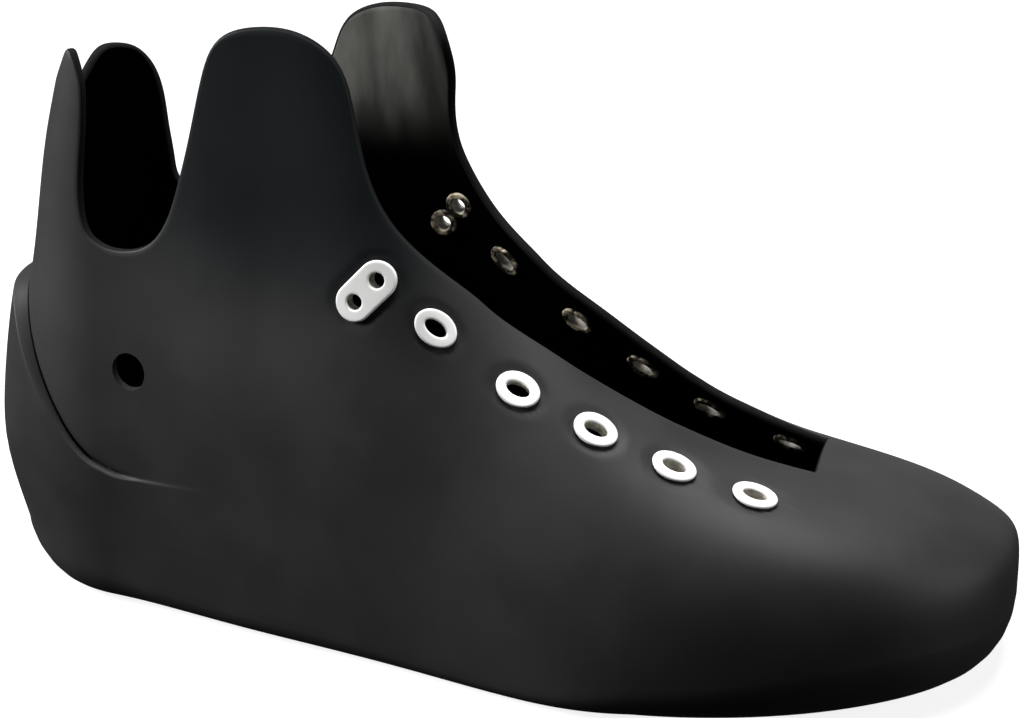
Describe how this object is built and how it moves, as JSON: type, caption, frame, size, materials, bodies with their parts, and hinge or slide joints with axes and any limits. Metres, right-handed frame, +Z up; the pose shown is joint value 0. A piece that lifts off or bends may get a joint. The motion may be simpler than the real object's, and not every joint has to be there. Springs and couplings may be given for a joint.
{
  "type": "inline skate boot shell",
  "caption": "Hollow moulded boot shell of an inline skate, open at throat and collar, with ankle wings, heel tab, cuff pivot holes and set lace eyelets.",
  "frame": {"origin": "on the flat sole plane, at half the shell's length, on the line from the heel's back to the toe's tip", "axes": "+X towards the toe, +Y towards the inner side of the right foot, +Z up"},
  "size_m": [0.309, 0.109, 0.178],
  "materials": {
    "shell": "black moulded plastic, satin",
    "eyelets": "white lacquered eyelets with brass rolled ends"
  },
  "bodies": {
    "root": {"shell": "shell", "eyelet_outer_1": "eyelets", "eyelet_outer_2": "eyelets", "eyelet_outer_3": "eyelets", "eyelet_outer_4": "eyelets", "eyelet_outer_5": "eyelets", "eyelet_inner_1": "eyelets", "eyelet_inner_2": "eyelets", "eyelet_inner_3": "eyelets", "eyelet_inner_4": "eyelets", "eyelet_inner_5": "eyelets", "lace_plate_outer": "eyelets", "lace_plate_inner": "eyelets"}
  },
  "joints": []
}
